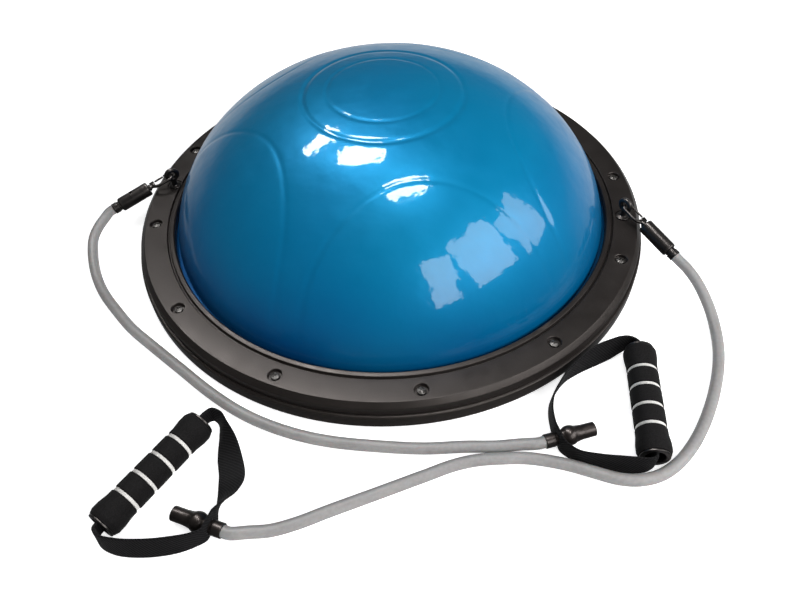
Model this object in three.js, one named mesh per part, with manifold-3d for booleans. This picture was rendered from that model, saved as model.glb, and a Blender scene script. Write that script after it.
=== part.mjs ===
// Balance dome trainer: an inflated half ball on a round platform, with two resistance bands
// clipped to its rim. Millimetres, +Z up, origin on the floor under the middle of the platform.
import * as THREE from 'three';
import { mergeVertices } from 'three/addons/utils/BufferGeometryUtils.js';
import Module from 'manifold-3d';

const wasm = await Module();
wasm.setup();

// ---------- driving dimensions ----------
const GAP = 0.3; // between neighbouring pieces

// platform: rubber feet, deck and clamp ring
const PLATFORM_RADIUS = 300;
const FOOT_TOP = 3.7;
const DECK_BOTTOM = FOOT_TOP + GAP;
const DECK_TOP = 19.7;
const RING_BOTTOM = DECK_TOP + GAP;
const RING_RADIUS = 296.8;
const RING_TOP = 34.6;
const SHOULDER_RADIUS = 7.2; // the rounding of the ring's outer edge
const SHOULDER_STEPS = 4;
const RING_BORE = 256.6;
const SCREW_COUNT = 12;
const SCREW_CIRCLE = 279.5;
const SCREW_SEAT = 30.4;
const SCREW_SEAT_RADIUS = 7;
const PLATFORM_SIDES = 48;

// dome bladder: half an ellipsoid with a clamped flange
const DOME_RADIUS = 255.5;
const DOME_HEIGHT = 190;
const DOME_CENTRE_Z = 2.3;
const DOME_WALL = 3.5;
const DOME_SKIRT_Z = 30;
const DOME_STEPS = 9;
const DOME_SIDES = 40;
const FLANGE_RADIUS = 267;
const FLANGE_TOP = 23.9;
const FLANGE_BOTTOM = 20.2;

// inflation valve under the deck
const VALVE_Y = 90;
const VALVE_POCKET_RADIUS = 22;
const VALVE_POCKET_TOP = 14;
const VALVE_HOLE_RADIUS = 8;

// eyelets and snap clips
const LEFT_EYE_X = -272.5;
const RIGHT_EYE_X = 276.5;
const EYE_Z = 50;
const EYE_RING_RADIUS = 7.5;
const EYE_WIRE_RADIUS = 2;
const EYE_SEAT = 32.6;
const EYE_SEAT_RADIUS = 9;
const HOOK_HALF_WIDTH = 5.5;
const HOOK_WIRE_RADIUS = 1.9;
const NOSE_END = 10;
const GATE_START = 10.7;
const GATE_PIVOT = 21.6;
const GATE_RADIUS = 1.2;
const BARREL_START = 32;
const BARREL_END = 72;
const BARREL_RADIUS = 8.5;
const BORE_END = 51;
const COLLAR_END = 81;
const COLLAR_RADIUS = 6.6;

// bands
const TUBE_RADIUS = 5.8;
const TUBE_SIDES = 8;
const TUBE_STEPS = 52;
const STRAIGHT = 6; // straight stretch at each end of a tube

// handles: foam grip on a core tube, webbing loop, rubber sleeve over the tube's end
const GRIP_Z = 16.5;
const FOAM_HALF_LENGTH = 60;
const FOAM_RADIUS = 15;
const FOAM_FLARE_RADIUS = 16.2; // the fatter stretch near each end
const FOAM_END_RADIUS = 14.6;
const FOAM_BORE = 11.6;
const CORE_RADIUS = 11.2;
const CORE_BORE = 9.8;
const CAP_RADIUS = 14;
const CAP_THICKNESS = 1.7;
const SPACER_PLACES = [-32.1, -10.9, 11.3, 32.6];
const SPACER_WIDTH = 3.2;
const SPACER_RADIUS = 14.1;
const GROOVE_RADIUS = 12.9;
const SLEEVE_LENGTH = 50;
const SLEEVE_RADIUS = 6.9;
const SLEEVE_BORE = 5.3;
const SLEEVE_Z = 10;
const BALL_PLACE = 25.3;
const BALL_RADIUS = 9.6;
const NECK_PLACE = 37;
const NECK_RADIUS = 6.05;
const WEBBING_WIDTH = 25;
const WEBBING_THICKNESS = 2;
const FOLDED_WIDTH = 17.8;
const FOLDED_THICKNESS = 3.4;
const WEBBING_STEPS = 70;

// the tubes' routes from clip to handle, in millimetres
const LEFT_ROUTE = [
  [-342.1, -58.6, 26.5], [-346.6, -74.1, 22.5], [-348.1, -88, 17.8], [-343.9, -104, 13.5],
  [-330.3, -132, 8], [-308.7, -160.7, 6], [-279.6, -188, 6], [-254.3, -209.1, 6], [-219.3, -231.9, 6],
  [-181.2, -255.7, 6], [-142.6, -279.7, 6], [-107.4, -297.9, 6], [-77.7, -308.8, 6], [-41.8, -317.1, 6],
  [-7, -320.5, 6], [36.8, -319.9, 6], [79.9, -316.9, 6], [120, -310, 6], [148, -306.6, 6.4],
  [169, -303, 8.3],
];
const RIGHT_ROUTE = [
  [343.4, -69.3, 24.5], [353, -82.5, 19.5], [360.5, -99.4, 14.5], [366, -119.2, 10], [368.6, -143, 7],
  [368, -166.5, 6], [364.4, -189.4, 6], [359, -211, 6], [351.2, -234.8, 6], [340.2, -260.9, 6],
  [327.5, -284.1, 6], [312.3, -304.1, 6], [295, -318.2, 6], [276, -325.2, 6], [257.3, -325.9, 6],
  [236.4, -322, 6], [213.2, -317.5, 6], [190.3, -315.4, 6], [172, -315.6, 6], [151.8, -318.6, 6],
  [131.5, -322.8, 6], [110, -330.7, 6], [82, -346.1, 6], [42.6, -368, 6], [5, -388.7, 6],
  [-22.8, -404.5, 6], [-43.8, -413.7, 6.3], [-61.6, -418.3, 8.3],
];

// the webbing's plan from the top of the grip to its bottom: x, y, lean in degrees, fold 0 to 1
const LEFT_WEBBING = [
  [-131.6, -314.4, 0, 0.9], [-126.8, -310, 4, 0.5], [-119, -313.2, 14, 0.15], [-112.5, -324, 30, 0],
  [-106.5, -335, 52, 0], [-101, -347.5, 72, 0], [-93.5, -365.5, 84, 0], [-91, -382, 62, 0],
  [-92.5, -397, 30, 0],
];
const LEFT_WEBBING_BACK = [
  [-106, -432.8, -4, 0], [-122, -439.5, -12, 0], [-146, -445.3, -15, 0], [-170, -447.2, -14, 0.05],
  [-185, -444.4, -8, 0.4], [-190.6, -438, -2, 0.8],
];
const RIGHT_WEBBING = [
  [282.3, -177.4, 0, 0.8], [275, -174.2, -4, 0.4], [266.5, -176.8, -12, 0.1], [257, -182.8, -19, 0],
  [246, -190, -22, 0], [235.5, -198.6, -15, 0], [224.5, -208.8, -5, 0], [212, -222, 3, 0],
  [203.2, -238, 7, 0], [198, -252, 5, 0], [196.8, -264.5, 2, 0], [197.9, -275, 0, 0],
];
const RIGHT_WEBBING_BACK = [
  [220, -310.6, -4, 0], [241, -313.6, 0, 0], [258, -314.8, 8, 0], [272, -314.5, 9, 0.1],
  [283.2, -313.4, 5, 0.4], [289, -310.2, 0, 0.8],
];

// ---------- the two sides ----------
const SIDES = [
  {
    name: 'left',
    eye: new THREE.Vector3(LEFT_EYE_X, 0, EYE_Z),
    clipDirection: new THREE.Vector3(-0.763, -0.6, -0.24),
    flip: 1,
    gripCentre: new THREE.Vector3(-161.8, -376.7, GRIP_Z),
    gripDirection: new THREE.Vector3(0.4358, 0.9001, 0),
    sleeveEnd: new THREE.Vector3(-132, -410.3, SLEEVE_Z),
    sleeveDirection: new THREE.Vector3(0.978, -0.21, 0),
    webbing: LEFT_WEBBING,
    webbingBack: LEFT_WEBBING_BACK,
    route: LEFT_ROUTE,
  },
  {
    name: 'right',
    eye: new THREE.Vector3(RIGHT_EYE_X, 0, EYE_Z),
    clipDirection: new THREE.Vector3(0.68, -0.69, -0.27),
    flip: -1,
    gripCentre: new THREE.Vector3(287.1, -244.8, GRIP_Z),
    gripDirection: new THREE.Vector3(-0.0412, 0.9992, 0),
    sleeveEnd: new THREE.Vector3(237.5, -278.5, SLEEVE_Z),
    sleeveDirection: new THREE.Vector3(-0.918, -0.397, 0),
    webbing: RIGHT_WEBBING,
    webbingBack: RIGHT_WEBBING_BACK,
    route: RIGHT_ROUTE,
  },
];

// ---------- materials ----------
const paint = (color, roughness, metalness = 0) =>
  new THREE.MeshStandardMaterial({ color, roughness, metalness });
const BASE_PLASTIC = paint(0x37322f, 0.45);
const DOME_VINYL = paint(0x0b6ea6, 0.18);
const FOOT_RUBBER = paint(0x1c1c1c, 0.8);
const SCREW_STEEL = paint(0x3a3938, 0.35, 0.9);
const CLIP_PLASTIC = paint(0x141414, 0.3);
const TUBE_RUBBER = paint(0xa5a09c, 0.5);
const SLEEVE_RUBBER = paint(0x181616, 0.3);
const WEBBING_FABRIC = paint(0x121214, 0.85);
const GRIP_FOAM = paint(0x1d1b1c, 0.9);
const SPACER_FOAM = paint(0xd2cfca, 0.7);

// ---------- helpers ----------
const UP = new THREE.Vector3(0, 0, 1);
const part = new THREE.Group();

// a bare closed mesh with shared vertices and no collapsed triangles
function weld(geometry) {
  const bare = new THREE.BufferGeometry();
  bare.setAttribute('position', geometry.getAttribute('position').clone());
  if (geometry.index) bare.setIndex(geometry.index.clone());
  const merged = mergeVertices(bare, 1e-3);
  const corners = merged.index.array;
  const kept = [];
  for (let i = 0; i < corners.length; i += 3) {
    const [a, b, c] = [corners[i], corners[i + 1], corners[i + 2]];
    if (a !== b && b !== c && c !== a) kept.push(a, b, c);
  }
  merged.setIndex(kept);
  return merged;
}

function toSolid(geometry) {
  const welded = weld(geometry);
  const vertProperties = new Float32Array(welded.getAttribute('position').array);
  const triVerts = new Uint32Array(welded.index.array);
  return new wasm.Manifold(new wasm.Mesh({ numProp: 3, vertProperties, triVerts }));
}

function toGeometry(solid) {
  const mesh = solid.getMesh();
  const geometry = new THREE.BufferGeometry();
  geometry.setAttribute('position', new THREE.BufferAttribute(mesh.vertProperties, 3));
  geometry.setIndex(new THREE.BufferAttribute(mesh.triVerts, 1));
  return geometry;
}

function cut(geometry, tools) {
  const solid = tools.reduce((rest, tool) => rest.subtract(toSolid(tool)), toSolid(geometry));
  return toGeometry(solid);
}

function join(geometries) {
  const [first, ...others] = geometries.map(toSolid);
  return toGeometry(others.reduce((all, solid) => all.add(solid), first));
}

// a body turned about Z from (radius, height) points, listed bottom, outside, top, inside
function turned(profile, sides) {
  const points = profile.map(([r, z]) => new THREE.Vector2(r, z));
  return weld(new THREE.LatheGeometry(points, sides).rotateX(Math.PI / 2));
}

const closed = (profile) => [...profile, profile[0]];

function rod(radius, bottom, top, sides = 16) {
  return turned([[0, bottom], [radius, bottom], [radius, top], [0, top]], sides);
}

const at = (geometry, x, y, z = 0) => geometry.translate(x, y, z);

function add(name, geometry, material, frame = new THREE.Matrix4()) {
  const mesh = new THREE.Mesh(weld(geometry), material);
  mesh.name = name;
  mesh.applyMatrix4(frame);
  part.add(mesh);
}

// a frame at an origin with its Z axis along a direction
function along(origin, direction) {
  const turn = new THREE.Quaternion().setFromUnitVectors(UP, direction.clone().normalize());
  return new THREE.Matrix4().compose(origin, turn, new THREE.Vector3(1, 1, 1));
}

function sweep(points, radius, sides, steps) {
  const section = new THREE.Shape();
  section.absarc(0, 0, radius, 0, 2 * Math.PI, false);
  const curve = new THREE.CatmullRomCurve3(points);
  return new THREE.ExtrudeGeometry(section, { curveSegments: sides / 2, steps, extrudePath: curve });
}

function polar(radius, angle) {
  return [radius * Math.cos(angle), radius * Math.sin(angle)];
}

// ---------- platform ----------
const screwPitch = (2 * Math.PI) / SCREW_COUNT;
const screwAngles = Array.from({ length: SCREW_COUNT }, (_, i) => (i + 0.5) * screwPitch);

function platformDeck() {
  const profile = [
    [0, DECK_BOTTOM], [PLATFORM_RADIUS - 1.5, DECK_BOTTOM], [PLATFORM_RADIUS, DECK_BOTTOM + 1.5],
    [PLATFORM_RADIUS, 16.8], [PLATFORM_RADIUS - 0.8, 18.9], [PLATFORM_RADIUS - 2.4, DECK_TOP],
    [0, DECK_TOP],
  ];
  const pilot = () => rod(2.5, 9, DECK_TOP + 1, 8);
  const pilots = screwAngles.map((angle) => at(pilot(), ...polar(SCREW_CIRCLE, angle)));
  const bolts = SIDES.map((side) => at(rod(3.5, 9, DECK_TOP + 1, 10), side.eye.x, side.eye.y));
  const pocket = at(rod(VALVE_POCKET_RADIUS, DECK_BOTTOM - 1, VALVE_POCKET_TOP, 24), 0, VALVE_Y);
  const hole = at(rod(VALVE_HOLE_RADIUS, DECK_BOTTOM, DECK_TOP + 1, 16), 0, VALVE_Y);
  const tools = [...pilots, ...bolts, pocket, hole];
  add('platform_deck', cut(turned(profile, PLATFORM_SIDES), tools), BASE_PLASTIC);
}

function clampRing() {
  const shoulder = Array.from({ length: SHOULDER_STEPS + 1 }, (_, i) => {
    const [r, z] = polar(SHOULDER_RADIUS, ((i / SHOULDER_STEPS) * Math.PI) / 2);
    return [RING_RADIUS - SHOULDER_RADIUS + r, RING_TOP - SHOULDER_RADIUS + z];
  });
  const profile = closed([
    [FLANGE_RADIUS + 1, RING_BOTTOM], [RING_RADIUS, RING_BOTTOM], ...shoulder,
    [265.4, RING_TOP - 0.4], [264.6, RING_TOP - 3], [263.4, RING_TOP - 3], [262.4, RING_TOP + 0.4],
    [258, RING_TOP + 0.8], [RING_BORE, RING_TOP - 0.6], [RING_BORE, FLANGE_TOP + 0.4],
    [FLANGE_RADIUS + 1, FLANGE_TOP + 0.4],
  ]);
  const seat = () => rod(SCREW_SEAT_RADIUS, SCREW_SEAT, RING_TOP + 2, 12);
  const hole = () => rod(2.6, 15, SCREW_SEAT + 1, 8);
  const eyeSeat = () => rod(EYE_SEAT_RADIUS, EYE_SEAT, RING_TOP + 2, 16);
  const eyeHole = () => rod(3.5, 15, EYE_SEAT + 1, 10);
  const tools = [
    ...screwAngles.map((angle) => at(seat(), ...polar(SCREW_CIRCLE, angle))),
    ...screwAngles.map((angle) => at(hole(), ...polar(SCREW_CIRCLE, angle))),
    ...SIDES.map((side) => at(eyeSeat(), side.eye.x, side.eye.y)),
    ...SIDES.map((side) => at(eyeHole(), side.eye.x, side.eye.y)),
  ];
  add('clamp_ring', cut(turned(profile, PLATFORM_SIDES), tools), BASE_PLASTIC);
}

function screws() {
  const top = SCREW_SEAT + GAP;
  const profile = [
    [0, 10], [2, 10], [2, top], [4.8, top], [4.6, top + 1.7], [3, top + 2.8], [0, top + 3.1],
  ];
  screwAngles.forEach((angle, i) => {
    add(`screw_${i + 1}`, at(turned(profile, 8), ...polar(SCREW_CIRCLE, angle)), SCREW_STEEL);
  });
}

function feet() {
  for (let i = 0; i < 6; i += 1) {
    const [x, y] = polar(248, ((i + 0.5) * Math.PI) / 3);
    const profile = [[0, 0], [11, 0], [12.5, 1.5], [12.5, FOOT_TOP], [0, FOOT_TOP]];
    add(`rubber_foot_${i + 1}`, at(turned(profile, 14), x, y), FOOT_RUBBER);
  }
  const pad = [[0, 0], [38, 0], [40, 1.5], [40, FOOT_TOP], [0, FOOT_TOP]];
  add('centre_foot', turned(pad, 24), FOOT_RUBBER);
}

// points of the ellipse from the skirt to the crown
function domeArc(inset, count) {
  const [a, b] = [DOME_RADIUS - inset, DOME_HEIGHT - inset];
  const lowest = Math.acos((DOME_SKIRT_Z - DOME_CENTRE_Z) / b);
  return Array.from({ length: count + 1 }, (_, i) => {
    const angle = lowest * (1 - i / count);
    return [a * Math.sin(angle), DOME_CENTRE_Z + b * Math.cos(angle)];
  });
}

function domeBladder() {
  const outside = domeArc(0, DOME_STEPS);
  const inside = domeArc(DOME_WALL, DOME_STEPS).reverse();
  inside[0][0] = 0;
  outside[DOME_STEPS][0] = 0;
  const profile = [
    ...inside, [inside[DOME_STEPS][0], FLANGE_BOTTOM], [FLANGE_RADIUS, FLANGE_BOTTOM],
    [FLANGE_RADIUS, FLANGE_TOP], [outside[0][0], FLANGE_TOP], ...outside,
  ];
  add('dome_bladder', turned(profile, DOME_SIDES), DOME_VINYL);
}

function valve() {
  const seat = closed([
    [4.6, 11.4], [13, 11.4], [13, 13.7], [7.6, 13.7], [7.6, 28], [4.6, 28],
  ]);
  add('valve_seat', at(turned(seat, 16), 0, VALVE_Y), FOOT_RUBBER);
  const plug = [[0, 9], [9, 9], [9, 11], [4, 11], [4, 25], [2.6, 27], [0, 27]];
  add('valve_plug', at(turned(plug, 14), 0, VALVE_Y), CLIP_PLASTIC);
}

// ---------- eyelet and snap clip ----------
// clip frame: X runs from the eyelet to the tube, Y across the hook, Z across its plane
function clipFrame(side) {
  const x = side.clipDirection.clone().normalize();
  const y = UP.clone().cross(x).normalize().multiplyScalar(side.flip);
  const z = x.clone().cross(y);
  return new THREE.Matrix4().makeBasis(x, y, z).setPosition(side.eye);
}

// a body turned about the clip's X axis
const turnedAlongX = (profile, sides) => turned(profile, sides).rotateY(Math.PI / 2);

function eyelet(side) {
  const heading = Math.atan2(side.clipDirection.y, side.clipDirection.x);
  const ring = new THREE.TorusGeometry(EYE_RING_RADIUS, EYE_WIRE_RADIUS, 6, 14)
    .rotateX(Math.PI / 2)
    .rotateZ(heading);
  const base = EYE_SEAT + GAP - EYE_Z;
  const stem = turned([
    [0, 12 - EYE_Z], [3, 12 - EYE_Z], [3, base], [7.5, base], [7.5, base + 1.6], [3.4, base + 3],
    [2.6, -EYE_RING_RADIUS], [0, -EYE_RING_RADIUS],
  ], 12);
  add(`${side.name}_eyelet`, at(join([ring, stem]), ...side.eye.toArray()), CLIP_PLASTIC);
}

function hook(side) {
  const w = HOOK_HALF_WIDTH;
  const bow = [0.75, 0.5, 0.25, 0, -0.25, -0.5].map((turn) => {
    const angle = Math.PI * (1 - turn);
    return [w + w * Math.cos(angle), w * Math.sin(angle)];
  });
  const line = [
    [30, 0], [27, 1.4], [23, 4.2], [18.5, w], [12, w], [w + 2, w], ...bow.slice(1), [NOSE_END, -w],
  ];
  const wire = sweep(line.map(([x, y]) => new THREE.Vector3(x, y, 0)), HOOK_WIRE_RADIUS, 6, 20);
  const shank = turnedAlongX([
    [0, 27], [2.2, 27], [2.8, BARREL_START - 2.4], [4, BARREL_START - 2.4], [4, BARREL_START - 0.4],
    [3, BARREL_START - 0.4], [3, BORE_END - 1], [0, BORE_END - 1],
  ], 12);
  const ear = new THREE.BoxGeometry(6, 7, 3.2).translate(26.4, -3.2, 0);
  add(`${side.name}_clip_hook`, join([wire, shank, ear]), CLIP_PLASTIC, clipFrame(side));
}

function gate(side) {
  const profile = [
    [0, GATE_START], [GATE_RADIUS, GATE_START], [GATE_RADIUS, GATE_PIVOT],
    [GATE_RADIUS * 0.7, GATE_PIVOT + 0.85], [0, GATE_PIVOT + GATE_RADIUS],
  ];
  const bar = at(turnedAlongX(profile, 8), 0, -HOOK_HALF_WIDTH, 0);
  add(`${side.name}_clip_gate`, bar, CLIP_PLASTIC, clipFrame(side));
}

function barrel(side) {
  const r = BARREL_RADIUS;
  const body = turnedAlongX([
    [0, BORE_END], [3.5, BORE_END], [3.5, BARREL_START], [r - 1.6, BARREL_START], [r, BARREL_START + 1.6],
    [r, BARREL_END - 2], [r - 2, BARREL_END], [0, BARREL_END],
  ], 16);
  const window = new THREE.BoxGeometry(3, 9, 5).translate(53.5, 0, r - 1.4);
  add(`${side.name}_clip_barrel`, cut(body, [window]), CLIP_PLASTIC, clipFrame(side));
}

function collar(side) {
  const start = BARREL_END + GAP;
  const r = COLLAR_RADIUS;
  const body = turnedAlongX([
    [0, start], [r - 0.8, start], [r - 0.8, start + 2.2], [r, start + 3], [r, COLLAR_END - 0.5],
    [r - 0.5, COLLAR_END], [0, COLLAR_END],
  ], 14);
  add(`${side.name}_tube_collar`, body, CLIP_PLASTIC, clipFrame(side));
}

// ---------- resistance tube ----------
function tube(side, handle) {
  const direction = side.clipDirection.clone().normalize();
  const start = side.eye.clone().addScaledVector(direction, COLLAR_END + GAP);
  const end = handle.sleeveEnd.clone().addScaledVector(handle.sleeveDirection, SLEEVE_LENGTH + GAP);
  const points = [
    start, start.clone().addScaledVector(direction, STRAIGHT),
    ...side.route.map((point) => new THREE.Vector3(...point)),
    end.clone().addScaledVector(handle.sleeveDirection, STRAIGHT), end,
  ];
  const body = sweep(points, TUBE_RADIUS, TUBE_SIDES, TUBE_STEPS);
  add(`${side.name}_tube`, body, TUBE_RUBBER);
}

// ---------- handle ----------
function sleeve(handle) {
  const r = SLEEVE_RADIUS;
  const onBall = (radius) => (u) => [Math.sqrt(radius ** 2 - u ** 2), BALL_PLACE + u];
  const bulge = [-5.4, -2.8, 0, 3, 6].map(onBall(BALL_RADIUS));
  const cavity = [5.2, 2.6, -2.6, -5.2].map(onBall(7.6));
  const profile = closed([
    [SLEEVE_BORE, 0], [r, 0], [r, BALL_PLACE - 13], [r + 0.5, BALL_PLACE - 8.6], ...bulge,
    [NECK_RADIUS, NECK_PLACE - 2.5], [NECK_RADIUS, NECK_PLACE + 2.5], [r, NECK_PLACE + 4],
    [r, SLEEVE_LENGTH], [SLEEVE_BORE, SLEEVE_LENGTH], ...cavity,
  ]);
  const frame = along(handle.sleeveEnd, handle.sleeveDirection);
  add(`${handle.name}_handle_sleeve`, turned(profile, 14), SLEEVE_RUBBER, frame);
  const plug = [
    [0, -0.8], [4.2, -0.8], [4.8, 0], [4.8, BALL_PLACE - 5], ...[-4.6, 0, 4.6].map(onBall(6.9)),
    [4.8, BALL_PLACE + 5], [4.8, SLEEVE_LENGTH - 0.8], [0, SLEEVE_LENGTH - 0.8],
  ];
  add(`${handle.name}_ball_plug`, turned(plug, 12), TUBE_RUBBER, frame);
}

// stations along the webbing loop: centre, lean and fold
function webbingStations(handle) {
  const inGrip = (distance) => {
    const spot = handle.gripCentre.clone().addScaledVector(handle.gripDirection, distance);
    return [spot.x, spot.y, 0, 1];
  };
  const neck = handle.sleeveEnd.clone().addScaledVector(handle.sleeveDirection, NECK_PLACE);
  const across = new THREE.Vector3(handle.sleeveDirection.y, -handle.sleeveDirection.x, 0);
  if (across.y > 0) across.negate();
  const atNeck = (distance) => {
    const spot = neck.clone().addScaledVector(across, distance);
    return [spot.x, spot.y, 0, 0];
  };
  return [
    ...[0.6, 20, 40, 56, 62.4].map(inGrip), ...handle.webbing, ...[-9, -3, 3, 9].map(atNeck),
    ...handle.webbingBack, ...[-62.4, -56, -40, -20, -0.6].map(inGrip),
  ];
}

// a band bent from a box: its length follows the stations and its width leans with them
function webbing(handle) {
  const stations = webbingStations(handle);
  const centres = stations.map(([x, y, lean, fold]) => {
    const angle = THREE.MathUtils.degToRad(lean);
    const edge = WEBBING_THICKNESS * Math.abs(Math.sin(angle));
    const resting = GAP + 0.5 * (WEBBING_WIDTH * Math.cos(angle) + edge);
    return new THREE.Vector3(x, y, THREE.MathUtils.lerp(resting, GRIP_Z, fold));
  });
  const centreLine = new THREE.CatmullRomCurve3(centres);
  const turns = new THREE.CatmullRomCurve3(
    stations.map(([, , lean, fold]) => new THREE.Vector3(lean, 100 * fold, 0)),
  );
  const band = new THREE.BoxGeometry(1, 1, 1, WEBBING_STEPS, 1, 1);
  const corners = band.getAttribute('position');
  for (let i = 0; i < corners.count; i += 1) {
    const t = corners.getX(i) + 0.5;
    const state = turns.getPoint(t);
    const lean = THREE.MathUtils.degToRad(state.x);
    const fold = THREE.MathUtils.clamp(state.y / 100, 0, 1);
    const tangent = centreLine.getTangent(t).setZ(0).normalize();
    const aside = UP.clone().cross(tangent);
    const wide = UP.clone().multiplyScalar(Math.cos(lean)).addScaledVector(aside, Math.sin(lean));
    const thick = tangent.clone().cross(wide);
    const width = THREE.MathUtils.lerp(WEBBING_WIDTH, FOLDED_WIDTH, fold);
    const thickness = THREE.MathUtils.lerp(WEBBING_THICKNESS, FOLDED_THICKNESS, fold);
    const spot = centreLine.getPoint(t)
      .addScaledVector(wide, corners.getY(i) * width)
      .addScaledVector(thick, corners.getZ(i) * thickness);
    corners.setXYZ(i, spot.x, spot.y, spot.z);
  }
  const hole = rod(NECK_RADIUS + 0.6, NECK_PLACE - 6, NECK_PLACE + 6, 14)
    .applyMatrix4(along(handle.sleeveEnd, handle.sleeveDirection));
  add(`${handle.name}_webbing_loop`, cut(band, [hole]), WEBBING_FABRIC);
}

function grip(handle) {
  const frame = along(handle.gripCentre, handle.gripDirection);
  const half = FOAM_HALF_LENGTH;
  const groove = SPACER_WIDTH / 2 + GAP;
  const grooves = SPACER_PLACES.flatMap((z) => [
    [FOAM_RADIUS, z - groove - 0.8], [GROOVE_RADIUS, z - groove], [GROOVE_RADIUS, z + groove],
    [FOAM_RADIUS, z + groove + 0.8],
  ]);
  const foam = closed([
    [FOAM_BORE, -half], [FOAM_END_RADIUS, -half], [FOAM_FLARE_RADIUS, -half + 4],
    [FOAM_FLARE_RADIUS, -half + 11], [FOAM_RADIUS, -half + 20], ...grooves, [FOAM_RADIUS, half - 20],
    [FOAM_FLARE_RADIUS, half - 11], [FOAM_FLARE_RADIUS, half - 4], [FOAM_END_RADIUS, half],
    [FOAM_BORE, half],
  ]);
  add(`${handle.name}_foam_grip`, turned(foam, 16), GRIP_FOAM, frame);

  const reach = half + 0.1;
  const core = closed([
    [CORE_BORE, -reach], [CORE_RADIUS, -reach], [CORE_RADIUS, reach], [CORE_BORE, reach],
  ]);
  add(`${handle.name}_grip_core`, turned(core, 14), CLIP_PLASTIC, frame);

  SPACER_PLACES.forEach((z, i) => {
    const [bottom, top] = [z - SPACER_WIDTH / 2, z + SPACER_WIDTH / 2];
    const bore = GROOVE_RADIUS + GAP;
    const ring = closed([[bore, bottom], [SPACER_RADIUS, bottom], [SPACER_RADIUS, top], [bore, top]]);
    add(`${handle.name}_spacer_ring_${i + 1}`, turned(ring, 16), SPACER_FOAM, frame);
  });

  const start = reach + GAP;
  const cap = closed([
    [CORE_BORE, start], [CAP_RADIUS, start], [CAP_RADIUS, start + 1],
    [CAP_RADIUS - 0.7, start + CAP_THICKNESS], [CORE_BORE, start + CAP_THICKNESS],
  ]);
  add(`${handle.name}_grip_cap_top`, turned(cap, 14), CLIP_PLASTIC, frame);
  add(`${handle.name}_grip_cap_bottom`, turned(cap, 14).rotateX(Math.PI), CLIP_PLASTIC, frame);
}

// ---------- assembly ----------
platformDeck();
clampRing();
screws();
feet();
domeBladder();
valve();
for (const side of SIDES) {
  eyelet(side);
  hook(side);
  gate(side);
  barrel(side);
  collar(side);
  sleeve(side);
  webbing(side);
  grip(side);
}
// the left clip's tube runs round the front to the right handle, and the right clip's to the left
const [left, right] = SIDES;
tube(left, right);
tube(right, left);

export default part;
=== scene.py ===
"""Balance dome trainer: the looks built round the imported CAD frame.

Shapes are written in millimetres, in the frame's own axes, and new_mesh() turns them into metres.
"""
import math

import bmesh
import bpy
import numpy as np
from mathutils import Matrix, Vector


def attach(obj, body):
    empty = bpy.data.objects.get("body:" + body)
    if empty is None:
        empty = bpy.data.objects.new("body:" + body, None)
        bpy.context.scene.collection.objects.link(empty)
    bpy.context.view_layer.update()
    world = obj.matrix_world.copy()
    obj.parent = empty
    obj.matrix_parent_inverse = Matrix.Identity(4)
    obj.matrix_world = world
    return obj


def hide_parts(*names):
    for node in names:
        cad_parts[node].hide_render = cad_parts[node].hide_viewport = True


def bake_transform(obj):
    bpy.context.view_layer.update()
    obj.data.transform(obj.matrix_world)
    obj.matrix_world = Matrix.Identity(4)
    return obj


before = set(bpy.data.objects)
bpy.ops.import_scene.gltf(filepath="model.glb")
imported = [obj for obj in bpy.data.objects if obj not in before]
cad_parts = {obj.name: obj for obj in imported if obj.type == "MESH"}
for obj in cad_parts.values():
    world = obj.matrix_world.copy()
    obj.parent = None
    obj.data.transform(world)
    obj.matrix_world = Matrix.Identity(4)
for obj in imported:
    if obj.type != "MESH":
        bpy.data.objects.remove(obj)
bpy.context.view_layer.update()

MM = 0.001
UP = Vector((0, 0, 1))
AXIS_X = Matrix.Rotation(math.pi / 2, 4, "Y")  # turns a body made about Z onto X

# ---------- driving dimensions, as in the CAD source unless a comment says otherwise ----------
GAP = 0.3
PLATFORM_RADIUS = 300
DECK_BOTTOM, DECK_TOP = 4.0, 19.7
RING_BOTTOM, RING_TOP, RING_RADIUS, RING_BORE = 20.0, 34.6, 296.8, 256.6
SHOULDER_DROP = 5.3  # of the soft slope at the ring's outer edge, set for its look
SCREW_COUNT, SCREW_CIRCLE = 12, 279.5
SCREW_SEAT, SCREW_SEAT_RADIUS, SCREW_HEAD_RADIUS, SCREW_TIP = 30.4, 7.0, 4.8, 10
DOME_RADIUS, DOME_HEIGHT, DOME_CENTRE_Z = 255.5, 190.0, 2.3
DOME_WALL, DOME_SKIRT_Z = 3.5, 30.0
FLANGE_RADIUS, FLANGE_TOP, FLANGE_BOTTOM = 267.0, 23.9, 20.2
FOOT_COUNT, FOOT_CIRCLE, FOOT_RADIUS, CENTRE_FOOT_RADIUS, FOOT_TOP = 6, 248, 12.5, 40, 3.7
VALVE_Y, VALVE_BORE = 90, 4.6
LEFT_EYE_X, RIGHT_EYE_X, EYE_Z = -272.5, 276.5, 50
EYE_SEAT, EYE_SEAT_RADIUS, EYE_THREAD_RADIUS, EYE_THREAD_END = 32.6, 9.0, 3.0, 12
EYE_RING_RADIUS, EYE_WIRE_RADIUS = 6.4, 2.9  # a thicker wire than the CAD's, which is 7.5 and 2
HOOK_HALF_WIDTH, HOOK_WIRE_RADIUS, NOSE_END = 5.5, 1.9, 10.0
GATE_START, GATE_PIVOT, GATE_RADIUS = 10.7, 21.6, 1.2
BARREL_START, BARREL_END, BARREL_RADIUS, BORE_END = 32.0, 72.0, 8.5, 51.0
COLLAR_END, COLLAR_RADIUS = 81.0, 6.6
TUBE_RADIUS, STRAIGHT = 5.8, 6.0
GRIP_Z, FOAM_HALF_LENGTH, FOAM_BORE = 16.5, 60.0, 11.6
FOAM_RADIUS, FOAM_FLARE_RADIUS, FOAM_END_RADIUS = 15.0, 16.2, 14.6
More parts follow.
